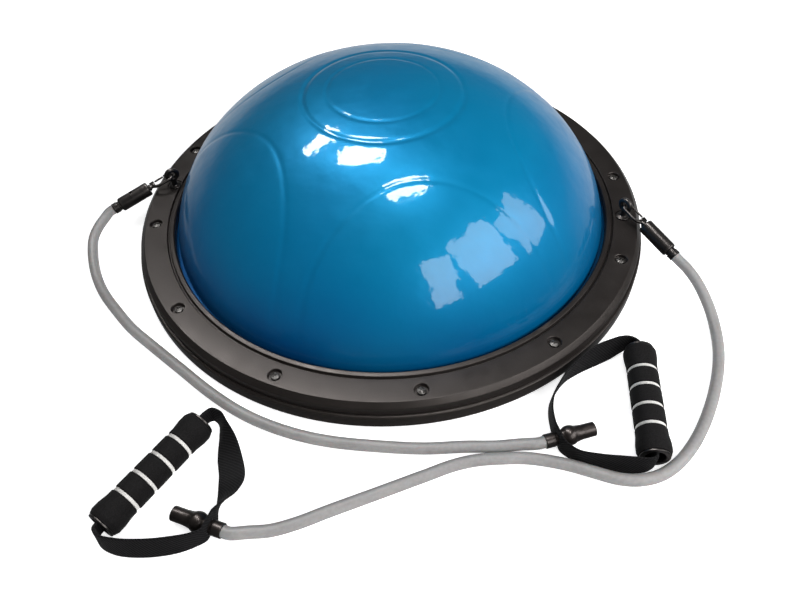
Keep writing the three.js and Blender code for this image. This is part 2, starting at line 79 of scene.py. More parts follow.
CAP_BORE, CAP_RADIUS, CAP_THICKNESS = 9.8, 14.0, 1.7
SPACER_PLACES = [-32.1, -10.9, 11.3, 32.6]
SPACER_WIDTH, SPACER_RADIUS, GROOVE_RADIUS = 3.2, 14.1, 12.9
SLEEVE_LENGTH, SLEEVE_RADIUS, SLEEVE_BORE = 50.0, 6.9, 5.3
BALL_PLACE, BALL_RADIUS, NECK_PLACE, NECK_RADIUS = 25.3, 9.6, 37.0, 6.05
WEBBING_WIDTH, WEBBING_THICKNESS, FOLDED_WIDTH, FOLDED_THICKNESS = 25.0, 2.0, 17.8, 3.4
WEBBING_STEPS = 360

# the tubes' routes from clip to handle
LEFT_ROUTE = [
    (-342.1, -58.6, 26.5), (-346.6, -74.1, 22.5), (-348.1, -88, 17.8), (-343.9, -104, 13.5),
    (-330.3, -132, 8), (-308.7, -160.7, 6), (-279.6, -188, 6), (-254.3, -209.1, 6), (-219.3, -231.9, 6),
    (-181.2, -255.7, 6), (-142.6, -279.7, 6), (-107.4, -297.9, 6), (-77.7, -308.8, 6), (-41.8, -317.1, 6),
    (-7, -320.5, 6), (36.8, -319.9, 6), (79.9, -316.9, 6), (120, -310, 6), (148, -306.6, 6.4),
    (169, -303, 8.3),
]
RIGHT_ROUTE = [
    (343.4, -69.3, 24.5), (353, -82.5, 19.5), (360.5, -99.4, 14.5), (366, -119.2, 10), (368.6, -143, 7),
    (368, -166.5, 6), (364.4, -189.4, 6), (359, -211, 6), (351.2, -234.8, 6), (340.2, -260.9, 6),
    (327.5, -284.1, 6), (312.3, -304.1, 6), (295, -318.2, 6), (276, -325.2, 6), (257.3, -325.9, 6),
    (236.4, -322, 6), (213.2, -317.5, 6), (190.3, -315.4, 6), (172, -315.6, 6), (151.8, -318.6, 6),
    (131.5, -322.8, 6), (110, -330.7, 6), (82, -346.1, 6), (42.6, -368, 6), (5, -388.7, 6),
    (-22.8, -404.5, 6), (-43.8, -413.7, 6.3), (-61.6, -418.3, 8.3),
]

# the webbing's plan from the top of the grip to its bottom: x, y, lean in degrees, fold 0 to 1
LEFT_WEBBING = [
    (-131.6, -314.4, 0, 0.9), (-126.8, -310, 4, 0.5), (-119, -313.2, 14, 0.15), (-112.5, -324, 30, 0),
    (-106.5, -335, 52, 0), (-101, -347.5, 72, 0), (-93.5, -365.5, 84, 0), (-91, -382, 62, 0),
    (-92.5, -397, 30, 0),
]
LEFT_WEBBING_BACK = [
    (-106, -432.8, -4, 0), (-122, -439.5, -12, 0), (-146, -445.3, -15, 0), (-170, -447.2, -14, 0.05),
    (-185, -444.4, -8, 0.4), (-190.6, -438, -2, 0.8),
]
RIGHT_WEBBING = [
    (282.3, -177.4, 0, 0.8), (275, -174.2, -4, 0.4), (266.5, -176.8, -12, 0.1), (257, -182.8, -19, 0),
    (246, -190, -22, 0), (235.5, -198.6, -15, 0), (224.5, -208.8, -5, 0), (212, -222, 3, 0),
    (203.2, -238, 7, 0), (198, -252, 5, 0), (196.8, -264.5, 2, 0), (197.9, -275, 0, 0),
]
RIGHT_WEBBING_BACK = [
    (220, -310.6, -4, 0), (241, -313.6, 0, 0), (258, -314.8, 8, 0), (272, -314.5, 9, 0.1),
    (283.2, -313.4, 5, 0.4), (289, -310.2, 0, 0.8),
]

SIDES = {
    "left": {
        "eye": Vector((LEFT_EYE_X, 0, EYE_Z)),
        "clip": Vector((-0.763, -0.6, -0.24)),
        "flip": 1,
        "grip_centre": Vector((-161.8, -376.7, GRIP_Z)),
        "grip_direction": Vector((0.4358, 0.9001, 0)),
        "sleeve_end": Vector((-132, -410.3, 10)),
        "sleeve_direction": Vector((0.978, -0.21, 0)),
        "webbing": LEFT_WEBBING,
        "webbing_back": LEFT_WEBBING_BACK,
        "route": LEFT_ROUTE,
        "tube_to": "right",
    },
    "right": {
        "eye": Vector((RIGHT_EYE_X, 0, EYE_Z)),
        "clip": Vector((0.68, -0.69, -0.27)),
        "flip": -1,
        "grip_centre": Vector((287.1, -244.8, GRIP_Z)),
        "grip_direction": Vector((-0.0412, 0.9992, 0)),
        "sleeve_end": Vector((237.5, -278.5, 10)),
        "sleeve_direction": Vector((-0.918, -0.397, 0)),
        "webbing": RIGHT_WEBBING,
        "webbing_back": RIGHT_WEBBING_BACK,
        "route": RIGHT_ROUTE,
        "tube_to": "left",
    },
}


# ---------- camera ----------
def make_camera():
    """Looks down on the platform from the front, with a slight roll."""
    place, target, roll = Vector((0.1238, -0.6535, 0.6019)), Vector((0.0353, -0.1559, 0.03)), -2.71
    data = bpy.data.cameras.new("camera")
    data.lens, data.sensor_width = 32.1, 36
    data.clip_start, data.clip_end = 0.01, 50
    camera = bpy.data.objects.new("camera", data)
    camera.rotation_mode = "QUATERNION"
    look = (target - place).to_track_quat("-Z", "Y").to_matrix().to_4x4()
    camera.matrix_world = Matrix.Translation(place) @ look @ Matrix.Rotation(math.radians(roll), 4, "Z")
    bpy.context.scene.collection.objects.link(camera)
    bpy.context.scene.camera = camera


# ---------- curves ----------
def catmull_rom(points, t):
    """The point at t, 0 to 1, of the centripetal Catmull-Rom curve that the CAD source uses."""
    last = len(points) - 1
    place = min(t, 1) * last
    i = min(int(place), last - 1)
    u = place - i
    p1, p2 = points[i], points[i + 1]
    p0 = points[i - 1] if i > 0 else 2 * p1 - p2
    p3 = points[i + 2] if i + 2 <= last else 2 * p2 - p1
    d0, d1, d2 = ((b - a).length ** 0.5 for a, b in ((p0, p1), (p1, p2), (p2, p3)))
    d1 = d1 if d1 > 1e-4 else 1.0
    d0 = d0 if d0 > 1e-4 else d1
    d2 = d2 if d2 > 1e-4 else d1
    start = ((p1 - p0) / d0 - (p2 - p0) / (d0 + d1) + (p2 - p1) / d1) * d1
    end = ((p2 - p1) / d1 - (p3 - p1) / (d1 + d2) + (p3 - p2) / d2) * d1
    bend, twist = -3 * p1 + 3 * p2 - 2 * start - end, 2 * p1 - 2 * p2 + start + end
    return p1 + start * u + bend * u**2 + twist * u**3


def evenly_spaced(points, step):
    """Points a step apart along the curve through the given ones."""
    fine = np.array([catmull_rom(points, t) for t in np.linspace(0, 1, 60 * len(points))])
    along = np.concatenate([[0], np.cumsum(np.linalg.norm(np.diff(fine, axis=0), axis=1))])
    count = max(2, round(along[-1] / step) + 1)
    stops = np.linspace(0, along[-1], count)
    return [Vector([np.interp(s, along, fine[:, k]) for k in range(3)]) for s in stops], along[-1]


def rounded(profile, closed=False, steps=4):
    """A profile whose points (radius, height, fillet) are rounded by that fillet."""
    result = []
    count = len(profile)
    for i, point in enumerate(profile):
        corner = Vector(point[:2])
        fillet = point[2] if len(point) > 2 else 0
        if fillet == 0 or (not closed and i in (0, count - 1)):
            result.append(tuple(corner))
            continue
        before = Vector(profile[i - 1][:2]) - corner
        after = Vector(profile[(i + 1) % count][:2]) - corner
        reach = fillet / math.tan(before.angle(after) / 2)
        start = corner + before.normalized() * min(reach, 0.48 * before.length)
        end = corner + after.normalized() * min(reach, 0.48 * after.length)
        for k in range(steps + 1):
            u = k / steps
            result.append(tuple((1 - u) ** 2 * start + 2 * u * (1 - u) * corner + u**2 * end))
    return result


# ---------- solids: (vertices, faces) in millimetres ----------
def turned(profile, sides=96):
    """A body turned about Z; its profile starts and ends on the axis, or closes on itself."""
    vertices, faces, rings = [], [], []
    turn = [2 * math.pi * i / sides for i in range(sides)]
    for radius, height in profile:
        start = len(vertices)
        if radius < 1e-6:
            vertices.append((0, 0, height))
            rings.append([start] * sides)
        else:
            vertices += [(radius * math.cos(a), radius * math.sin(a), height) for a in turn]
            rings.append(list(range(start, start + sides)))
    pairs = list(zip(rings, rings[1:]))
    if rings[0][0] != rings[0][1]:
        pairs.append((rings[-1], rings[0]))
    for low, high in pairs:
        for i in range(sides):
            j = (i + 1) % sides
            corners = dict.fromkeys((low[i], low[j], high[j], high[i]))
            if len(corners) > 2:
                faces.append(tuple(corners))
    return vertices, faces


def lofted(rings):
    """A body through rings with the same number of points, with flat ends."""
    sides = len(rings[0])
    vertices = [tuple(p) for ring in rings for p in ring]
    faces = [tuple(reversed(range(sides))), tuple(range(len(vertices) - sides, len(vertices)))]
    for k in range(len(rings) - 1):
        for i in range(sides):
            j = (i + 1) % sides
            low = k * sides
            faces.append((low + i, low + j, low + sides + j, low + sides + i))
    return vertices, faces


def swept(points, radius, sides):
    """A round rod along points, whose section doesn't twist. radius is one number or one for each point."""
    radii = [radius] * len(points) if isinstance(radius, (int, float)) else radius
    tangent = (points[1] - points[0]).normalized()
    side = tangent.orthogonal().normalized()
    rings = []
    for i, point in enumerate(points):
        ahead = points[min(i + 1, len(points) - 1)] - points[max(i - 1, 0)]
        tangent = ahead.normalized()
        side = (side - tangent * side.dot(tangent)).normalized()
        other = tangent.cross(side)
        turn = [2 * math.pi * k / sides for k in range(sides)]
        rings.append([point + radii[i] * (side * math.cos(a) + other * math.sin(a)) for a in turn])
    return lofted(rings)


def box(centre, size):
    """A block, for cutting."""
    x, y, z = (s / 2 for s in size)
    ring = [(-x, -y), (x, -y), (x, y), (-x, y)]
    low = [Vector((a, b, -z)) + Vector(centre) for a, b in ring]
    high = [Vector((a, b, z)) + Vector(centre) for a, b in ring]
    return lofted([low, high])


def moved(solid, matrix):
    return [tuple(matrix @ Vector(v)) for v in solid[0]], solid[1]


def at(solid, x, y, z=0):
    return moved(solid, Matrix.Translation((x, y, z)))


def together(solids):
    """Several separate bodies in one mesh."""
    vertices, faces = [], []
    for more, sides in solids:
        start = len(vertices)
        vertices += more
        faces += [tuple(start + i for i in side) for side in sides]
    return vertices, faces


def new_mesh(name, solid):
    """An object from a solid in millimetres, with its faces pointing out."""
    mesh = bpy.data.meshes.new(name)
    mesh.from_pydata([tuple(c * MM for c in v) for v in solid[0]], [], solid[1])
    work = bmesh.new()
    work.from_mesh(mesh)
    bmesh.ops.recalc_face_normals(work, faces=work.faces)
    work.to_mesh(mesh)
    work.free()
    thing = bpy.data.objects.new(name, mesh)
    bpy.context.scene.collection.objects.link(thing)
    return thing


def carve(thing, solid, operation="DIFFERENCE"):
    """Cuts a solid out of an object, or joins it on."""
    tool = new_mesh("tool", solid)
    modifier = thing.modifiers.new("carve", "BOOLEAN")
    modifier.operation, modifier.solver, modifier.object = operation, "EXACT", tool
    bpy.context.view_layer.update()
    result = bpy.data.meshes.new_from_object(thing.evaluated_get(bpy.context.evaluated_depsgraph_get()))
    thing.modifiers.clear()
    old, name = thing.data, thing.data.name
    thing.data = result
    bpy.data.meshes.remove(old)
    result.name = name
    bpy.data.meshes.remove(tool.data)
    return thing


def finish_piece(thing, body, slot, nodes, sharp=32):
    """Smooth shading with crisp edges, the material, the body it rides on and the CAD nodes it replaces."""
    thing.data.shade_smooth()
    thing.data.set_sharp_from_angle(angle=math.radians(sharp))
    thing.data.materials.clear()
    thing.data.materials.append(MATERIALS[slot])
    if body:
        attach(thing, body)
    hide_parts(*nodes)
    return thing


def piece(name, solid, body, slot, nodes, sharp=32):
    return finish_piece(new_mesh(name, solid), body, slot, nodes, sharp)


def along(origin, direction):
    """A frame at origin with its Z axis along a direction."""
    return Matrix.Translation(origin) @ UP.rotation_difference(direction).to_matrix().to_4x4()


def polar(radius, angle):
    return radius * math.cos(angle), radius * math.sin(angle)


# ---------- materials ----------
MATERIALS = {}


class Paint:
    """A node material: its Principled shader and a few helpers to feed it."""

    def __init__(self, name, **values):
        self.material = bpy.data.materials.new(name)
        self.material.use_nodes = True
        self.tree = self.material.node_tree
        self.shader = self.tree.nodes["Principled BSDF"]
        self.place = self.tree.nodes.new("ShaderNodeTexCoord").outputs["Object"]
        for socket, value in values.items():
            self.shader.inputs[socket.replace("_", " ")].default_value = value
        MATERIALS[name] = self.material

    def node(self, kind, inputs=None, **settings):
        made = self.tree.nodes.new("ShaderNode" + kind)
        for key, value in settings.items():
            setattr(made, key, value)
        for key, value in (inputs or {}).items():
            if isinstance(value, bpy.types.NodeSocket):
                self.tree.links.new(value, made.inputs[key])
            else:
                made.inputs[key].default_value = value
        return made

    def noise(self, scale, detail=3, rough=0.5, place=None):
        """Values from 0 to 1 in patches of about 1 / scale metres."""
        inputs = {"Vector": place or self.place, "Scale": scale, "Detail": detail, "Roughness": rough}
        return self.node("TexNoise", inputs).outputs["Fac"]

    def spread(self, value, low, high, start=0.3, end=0.7):
        """value from start to end, spread over low to high."""
        inputs = {"Value": value, "From Min": start, "From Max": end, "To Min": low, "To Max": high}
        return self.node("MapRange", inputs).outputs["Result"]

    def mix(self, share, first, second):
        """Between two colours by share."""
        made = self.node("Mix", data_type="RGBA")
        for socket, value in ((0, share), (6, first), (7, second)):
            if isinstance(value, bpy.types.NodeSocket):
                self.tree.links.new(value, made.inputs[socket])
            else:
                made.inputs[socket].default_value = value
        return made.outputs[2]

    def math(self, operation, first, second=0.0):
        made = self.node("Math", {0: first, 1: second}, operation=operation)
        return made.outputs[0]

    def bump(self, height, distance, strength=1.0):
        """Adds relief of that height, in metres, on top of the relief so far."""
        inputs = {"Height": height, "Distance": distance, "Strength": strength}
        made = self.node("Bump", inputs)
        before = self.shader.inputs["Normal"]
        if before.is_linked:
            self.tree.links.new(before.links[0].from_socket, made.inputs["Normal"])
        self.tree.links.new(made.outputs["Normal"], before)

    def feed(self, socket, value):
        self.tree.links.new(value, self.shader.inputs[socket])


def rgb(red, green, blue):
    return red, green, blue, 1.0


def paint_base_plastic():
    """Moulded charcoal plastic: fine grain, soft sheen, edges rubbed lighter."""
    paint = Paint("base_plastic", IOR=1.5, Specular_IOR_Level=0.3, Specular_Tint=rgb(1.0, 0.9, 0.85))
    cloud = paint.noise(9, 4)
    speckle = paint.noise(1500, 2)
    tone = paint.mix(paint.spread(cloud, 0, 1), rgb(0.0095, 0.0081, 0.0076), rgb(0.0145, 0.0125, 0.0116))
    tone = paint.mix(paint.spread(speckle, 0, 0.3), tone, rgb(0.032, 0.0265, 0.024))
    edge = paint.node("NewGeometry").outputs["Pointiness"]
    rubbed = paint.math("MULTIPLY", paint.spread(edge, 0, 0.6, 0.52, 0.6), paint.spread(cloud, 0.3, 1))
    paint.feed("Base Color", paint.mix(rubbed, tone, rgb(0.07, 0.062, 0.056)))
    paint.feed("Roughness", paint.spread(paint.noise(40, 5), 0.3, 0.42))
    paint.bump(speckle, 0.00006, 0.6)
    paint.bump(paint.noise(5200, 2), 0.00002, 0.5)


def paint_dome_vinyl():
    """Glossy pearl blue vinyl with painted shade that darkens it towards the skirt, and ripples that show
    in its reflections.
    """
    paint = Paint(
        "dome_vinyl", Metallic=0.2, IOR=1.5, Specular_IOR_Level=0.05, Coat_Weight=0.4,
        Coat_Roughness=0.05, Coat_IOR=1.6,
    )
    height = paint.node("SeparateXYZ", {"Vector": paint.place}).outputs["Z"]
    cloud = paint.noise(7, 3)
    # painted shade: the blue is painted darker low on the dome, towards the skirt, with random mottling on
    # top
    painted_shade_and_mottle = paint.math("ADD", paint.spread(height, 0, 1, 0.03, 0.15), paint.spread(cloud, -0.12, 0.12))
    tone = paint.mix(painted_shade_and_mottle, rgb(0.0, 0.058, 0.21), rgb(0.0, 0.172, 0.36))
    patch = paint.spread(paint.noise(3.2, 2), 0, 0.3, 0.45, 0.7)
    tone = paint.mix(patch, tone, rgb(0.0, 0.175, 0.3))
    pearl = paint.spread(paint.noise(2600, 2), 0, 0.08)
    paint.feed("Base Color", paint.mix(pearl, tone, rgb(0.0, 0.3, 0.5)))
    paint.feed("Roughness", paint.spread(paint.noise(60, 5), 0.32, 0.44))
    paint.bump(paint.noise(18, 2), 0.0006, 0.4)
    paint.bump(paint.noise(48, 2), 0.0008, 0.5)
    paint.bump(paint.noise(150, 2), 0.00012, 0.5)
    ripples = paint.shader.inputs["Normal"].links[0].from_socket
    paint.feed("Coat Normal", ripples)
    paint.bump(paint.noise(700, 3), 0.00001, 0.5)


def paint_foot_rubber():
    paint = Paint("foot_rubber", IOR=1.5)
    grain = paint.noise(1800, 3)
    paint.feed("Base Color", paint.mix(grain, rgb(0.008, 0.008, 0.008), rgb(0.022, 0.021, 0.02)))
    paint.feed("Roughness", paint.spread(paint.noise(90, 4), 0.68, 0.9))
    paint.bump(grain, 0.00012, 0.7)


def paint_screw_steel():
    """Blackened steel, worn lighter on its edges."""
    paint = Paint("screw_steel", Metallic=1.0)
    worn = paint.spread(paint.noise(420, 4), 0, 1, 0.42, 0.68)
    edge = paint.spread(paint.node("NewGeometry").outputs["Pointiness"], 0, 0.7, 0.5, 0.62)
    share = paint.math("ADD", worn, edge)
    paint.feed("Base Color", paint.mix(share, rgb(0.018, 0.0165, 0.0155), rgb(0.12, 0.115, 0.11)))
    paint.feed("Roughness", paint.spread(paint.noise(900, 3), 0.4, 0.58))
    paint.bump(paint.noise(3000, 2), 0.00002, 0.5)


def paint_clip_plastic():
    """Black nylon with a soft gloss and fine handling scratches."""
    paint = Paint(
        "clip_plastic", IOR=1.5, Specular_IOR_Level=0.45, Specular_Tint=rgb(1.0, 0.88, 0.82),
        Coat_Weight=0.3, Coat_Roughness=0.3,
    )
    cloud = paint.noise(130, 4)
    stretched = paint.node("Mapping", {"Vector": paint.place, "Scale": (300, 2600, 900)}).outputs[0]
    scratch = paint.spread(paint.noise(1, 2, 0.6, stretched), 0, 1, 0.6, 0.75)
    tone = paint.mix(paint.spread(cloud, 0, 1), rgb(0.003, 0.003, 0.0032), rgb(0.008, 0.0076, 0.0075))
    paint.feed("Base Color", tone)
    scratched = paint.math("MULTIPLY", scratch, 0.1)
    paint.feed("Roughness", paint.math("ADD", paint.spread(cloud, 0.28, 0.36), scratched))
    paint.bump(scratch, 0.00002, 0.1)
    paint.bump(cloud, 0.00004, 0.25)


def paint_tube_rubber():
    """Light grey latex: milky, with faint cloudy patches and a powdery bloom."""
    paint = Paint("tube_rubber", IOR=1.45, Subsurface_Weight=0.15, Subsurface_Scale=0.003)
    bloom = paint.noise(260, 5)
    cloud = paint.noise(22, 3)
    tone = paint.mix(paint.spread(cloud, 0, 1), rgb(0.235, 0.228, 0.226), rgb(0.3, 0.293, 0.29))
    tone = paint.mix(paint.spread(bloom, 0, 0.4), tone, rgb(0.37, 0.363, 0.36))
    paint.feed("Base Color", tone)
    paint.feed("Roughness", paint.spread(bloom, 0.44, 0.58))
    paint.bump(bloom, 0.0001, 0.35)
    paint.bump(paint.noise(1900, 2), 0.00003, 0.5)


def paint_sleeve_rubber():
    """Soft black dipped rubber with a low gloss."""
    paint = Paint(
        "sleeve_rubber", IOR=1.5, Specular_IOR_Level=0.36, Specular_Tint=rgb(1.0, 0.84, 0.78),
        Coat_Weight=0.2, Coat_Roughness=0.24,
    )
    cloud = paint.noise(170, 4)
    paint.feed("Base Color", paint.mix(cloud, rgb(0.004, 0.0032, 0.003), rgb(0.012, 0.0105, 0.0098)))
    paint.feed("Roughness", paint.spread(cloud, 0.3, 0.44))
    paint.bump(cloud, 0.00025, 0.4)


def paint_webbing():
    """Black nylon: slanting yarns across the ribs, with a dull sheen."""
    paint = Paint("webbing", Roughness=0.7, Specular_IOR_Level=0.12, Sheen_Weight=0.04, Sheen_Roughness=0.4)
    uv = paint.node("TexCoord").outputs["UV"]
    slanted = paint.node("Mapping", {"Vector": uv, "Rotation": (0, 0, math.radians(38))}).outputs[0]
    yarn_settings = {"Vector": slanted, "Scale": 132, "Distortion": 0.4, "Detail": 1}
    yarn = paint.node("TexWave", yarn_settings).outputs["Fac"]
    pick = paint.node("TexWave", {"Vector": uv, "Scale": 330, "Distortion": 0.3}).outputs["Fac"]
    weave = paint.math("MULTIPLY", yarn, paint.spread(pick, 0.4, 1, 0, 1))
    fuzz = paint.noise(2400, 3)
    tone = paint.mix(weave, rgb(0.0008, 0.0008, 0.001), rgb(0.0135, 0.013, 0.0145))
    fluffy = paint.spread(fuzz, 0, 0.4, 0.5, 0.8)
    paint.feed("Base Color", paint.mix(fluffy, tone, rgb(0.015, 0.0145, 0.0155)))
    paint.bump(weave, 0.00035, 0.8)
    paint.bump(fuzz, 0.0001, 0.5)


def foam(name, dark, light, rough):
    """Closed-cell foam: small pits and a dry surface."""
    paint = Paint(name, Specular_IOR_Level=0.15, Sheen_Weight=0.03, Sheen_Roughness=0.5, IOR=1.4)
    cells = paint.node("TexVoronoi", {"Vector": paint.place, "Scale": 950}).outputs["Distance"]
    fine = paint.noise(2300, 3)
    cloud = paint.noise(45, 3)
    tone = paint.mix(paint.spread(cells, 0, 1, 0.1, 0.7), light, dark)
    paint.feed("Base Color", paint.mix(paint.spread(cloud, 0, 0.3), tone, light))
    paint.feed("Roughness", paint.spread(fine, rough - 0.08, rough + 0.06))
    paint.bump(cells, 0.0003, 0.55)
    paint.bump(fine, 0.0001, 0.5)


def make_materials():
    paint_base_plastic()
    paint_dome_vinyl()
    paint_foot_rubber()
    paint_screw_steel()
    paint_clip_plastic()
    paint_tube_rubber()
    paint_sleeve_rubber()
    paint_webbing()
    foam("grip_foam", rgb(0.003, 0.0026, 0.0027), rgb(0.0095, 0.0086, 0.009), 0.8)
    foam("spacer_foam", rgb(0.6, 0.585, 0.56), rgb(0.8, 0.785, 0.76), 0.75)


def tube(name):
    """The elastic tube from this side's clip to the other side's handle."""
    side = SIDES[name]
    handle = SIDES[side["tube_to"]]
    direction = side["clip"].normalized()
    start = side["eye"] + direction * (COLLAR_END + GAP)
    end = handle["sleeve_end"] + handle["sleeve_direction"] * (SLEEVE_LENGTH + GAP)
    points = [start, start + direction * STRAIGHT, *map(Vector, side["route"])]
    points += [end + handle["sleeve_direction"] * STRAIGHT, end]
    spots, length = evenly_spaced(points, 3.5)
    thing = new_mesh(f"{name}_elastic_tube", swept(spots, TUBE_RADIUS, 20))
    finish_piece(thing, None, "tube_rubber", [f"{name}_tube"], sharp=50)
    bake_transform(thing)


# ---------- platform ----------
def screw_angles():
    return [(i + 0.5) * 2 * math.pi / SCREW_COUNT for i in range(SCREW_COUNT)]


def plain_hole(radius, low, high, sides):
    """A cylinder on the Z axis, for cutting."""
    return turned([(0, low), (radius, low), (radius, high), (0, high)], sides)


def at_screws(solid):
    return together([at(solid, *polar(SCREW_CIRCLE, angle)) for angle in screw_angles()])


def at_eyes(solid):
    return together([at(solid, side["eye"].x, 0) for side in SIDES.values()])


def platform():
    profile = rounded([
        (0, DECK_BOTTOM), (60, DECK_BOTTOM), (62, 5.2, 0.6), (238, 5.2, 0.6), (240, DECK_BOTTOM, 0.6),
        (PLATFORM_RADIUS, DECK_BOTTOM, 1.5), (PLATFORM_RADIUS, DECK_TOP, 2.4),
        (0, DECK_TOP),
    ], steps=6)
    deck = new_mesh("platform_body", turned(profile, 256))
    above = DECK_TOP + 1
    carve(deck, at(plain_hole(22, DECK_BOTTOM - 1, 14, 64), 0, VALVE_Y))
    carve(deck, at(plain_hole(8, DECK_BOTTOM, above, 40), 0, VALVE_Y))
    pilots = at_screws(plain_hole(2.5, 9, above, 20))
    bolt_holes = at_eyes(plain_hole(EYE_THREAD_RADIUS + 0.5, 9, above, 20))
    carve(deck, together([pilots, bolt_holes]))
    finish_piece(deck, "root", "base_plastic", ["platform_deck"])


def clamp_ring():
    top = RING_TOP
    profile = rounded([
        (FLANGE_RADIUS + 1, RING_BOTTOM), (RING_RADIUS, RING_BOTTOM, 0.5),
        (RING_RADIUS, top - SHOULDER_DROP, 2.6), (RING_RADIUS - SHOULDER_DROP, top, 1.5),
        (265.4, top - 0.4, 0.7), (264.7, top - 3, 0.5), (263.3, top - 3, 0.5), (262.4, top + 0.4, 0.9),
        (258, top + 0.8, 0.9), (RING_BORE, top - 0.6, 0.6), (RING_BORE, FLANGE_TOP + 0.4),
        (FLANGE_RADIUS + 1, FLANGE_TOP + 0.4),
    ], closed=True, steps=7)
    ring = new_mesh("rim_ring", turned(profile, 256))
    above, r = top + 4, SCREW_SEAT_RADIUS
    seat = turned([
        (0, SCREW_SEAT), (r - 0.4, SCREW_SEAT), (r, SCREW_SEAT + 0.4), (r, top - 0.9),
        (r + 1.2, top + 0.3), (r + 1.2, above), (0, above),
    ], 40)
    hole = plain_hole(2.6, 15, SCREW_SEAT + 1, 20)
    eye_seat = turned([
        (0, EYE_SEAT), (EYE_SEAT_RADIUS, EYE_SEAT), (EYE_SEAT_RADIUS + 0.6, above), (0, above),
    ], 40)
    eye_hole = plain_hole(EYE_THREAD_RADIUS + 0.5, 15, EYE_SEAT + 1, 20)
    for cut in (at_screws(seat), at_screws(hole), at_eyes(eye_seat), at_eyes(eye_hole)):
        carve(ring, cut)
    finish_piece(ring, "root", "base_plastic", ["clamp_ring"], sharp=28)


def screws():
    """Pan heads with a cross recess, each at its own turn."""
    top, head = SCREW_SEAT + GAP, SCREW_HEAD_RADIUS
    profile = rounded([
        (0, SCREW_TIP), (1.2, SCREW_TIP), (2, SCREW_TIP + 1.5), (2, top), (head, top, 0.3),
        (head - 0.1, top + 1.7, 1), (0, top + 3.1),
    ], steps=5)
    profile[-1] = (0, top + 3.05)
    master = new_mesh("screw_master", turned(profile, 40))
    for angle in (0, math.pi / 2):
        blade = moved(box((0, 0, top + 3.1), (4.6, 0.95, 2.6)), Matrix.Rotation(angle, 4, "Z"))
        carve(master, blade)
    for i, angle in enumerate(screw_angles()):
        thing = bpy.data.objects.new(f"pan_screw_{i + 1}", master.data.copy())
        bpy.context.scene.collection.objects.link(thing)
        x, y = polar(SCREW_CIRCLE, angle)
        thing.data.transform(Matrix.Translation((x * MM, y * MM, 0)) @ Matrix.Rotation(1.7 * i, 4, "Z"))
        finish_piece(thing, "root", "screw_steel", [f"screw_{i + 1}"])
    bpy.data.meshes.remove(master.data)


def feet():
    """Six small feet with a dished sole, and a centre foot with grooves round it."""
    r = FOOT_RADIUS
    small = turned(rounded([
        (0, 0.4), (8, 0.4), (8.6, 0, 0.2), (r - 1.1, 0, 0.8), (r, 1.5, 0.8), (r, FOOT_TOP), (0, FOOT_TOP),
    ]), 48)
    for i in range(FOOT_COUNT):
        x, y = polar(FOOT_CIRCLE, (i + 0.5) * 2 * math.pi / FOOT_COUNT)
        piece(f"grip_foot_{i + 1}", at(small, x, y), "root", "foot_rubber", [f"rubber_foot_{i + 1}"])
    r = CENTRE_FOOT_RADIUS
    tread = []
    for start in (7, 13, 19, 25, 31):
        tread += [(start, 0.6, 0.3), (start + 0.6, 0, 0.3), (start + 5, 0, 0.3), (start + 5.6, 0.6, 0.3)]
    centre = rounded([(0, 0.6), *tread, (r - 1.8, 0, 0.4), (r, 1.5, 0.8), (r, FOOT_TOP), (0, FOOT_TOP)])
    piece("centre_pad", turned(centre, 96), "root", "foot_rubber", ["centre_foot"])


def valve():
    """The bush under the dome that air goes in by, and its stopper, pulled out downwards."""
    seat = turned([
        (VALVE_BORE, 11.4), (13, 11.4), (13, 13.7), (7.6, 13.7), (7.6, 28), (VALVE_BORE, 28),
    ], 48)
    plug = turned(rounded([
        (0, 9), (6.5, 9), (7, 9.5), (9, 9.5, 0.4), (9, 11, 0.4), (4, 11, 0.4), (4, 25, 0.6), (2.6, 27, 0.8),
        (0, 27),
    ]), 48)
    piece("valve_bush", at(seat, 0, VALVE_Y), "root", "foot_rubber", ["valve_seat"])
    piece("valve_stopper", at(plug, 0, VALVE_Y), "valve_plug", "clip_plastic", ["valve_plug"])


# ---------- dome ----------
CROWN_RINGS = ((60, 1.7, 0.55), (86, 2.6, 0.9))  # radius, half width and depth of the two rings
PANEL_COUNT, PANEL_TOP, PANEL_HALF_ANGLE = 5, 131.0, math.radians(32.5)  # the arched panels
PANEL_TURN = math.radians(-70)  # of the first panel's middle
PANEL_POWER = 2.7  # of the arch: 2 would be a parabola, and more is squarer
GROOVE_WIDTH, GROOVE_DEPTH, PANEL_STEP = 2.4, 0.5, 0.22


def dome_relief(radius, turn, slope):
    """How far the vinyl stands in or out at a plan radius and turn: crown rings and arched panels."""
    relief = np.zeros_like(turn)
    for ring, width, depth in CROWN_RINGS:
        relief -= depth * np.exp(-(((radius - ring) / width) ** 2))
    pitch = 2 * math.pi / PANEL_COUNT
    offset = (turn - PANEL_TURN + pitch / 2) % pitch - pitch / 2
    share = (radius - PANEL_TOP) / (DOME_RADIUS - PANEL_TOP)
    rest = np.clip(1 - share, 0, None)
    inside = PANEL_HALF_ANGLE**2 * (1 - rest**PANEL_POWER) - offset**2
    grow = PANEL_HALF_ANGLE**2 * PANEL_POWER * rest ** (PANEL_POWER - 1) / (DOME_RADIUS - PANEL_TOP)
    steepness = np.hypot(grow * slope, 2 * offset / np.maximum(radius, 1))
    distance = inside / np.maximum(steepness, 1e-6)
    relief -= GROOVE_DEPTH * np.exp(-((distance / GROOVE_WIDTH) ** 2))
    relief += PANEL_STEP * (0.5 + 0.5 * np.tanh(distance / GROOVE_WIDTH))
    return relief


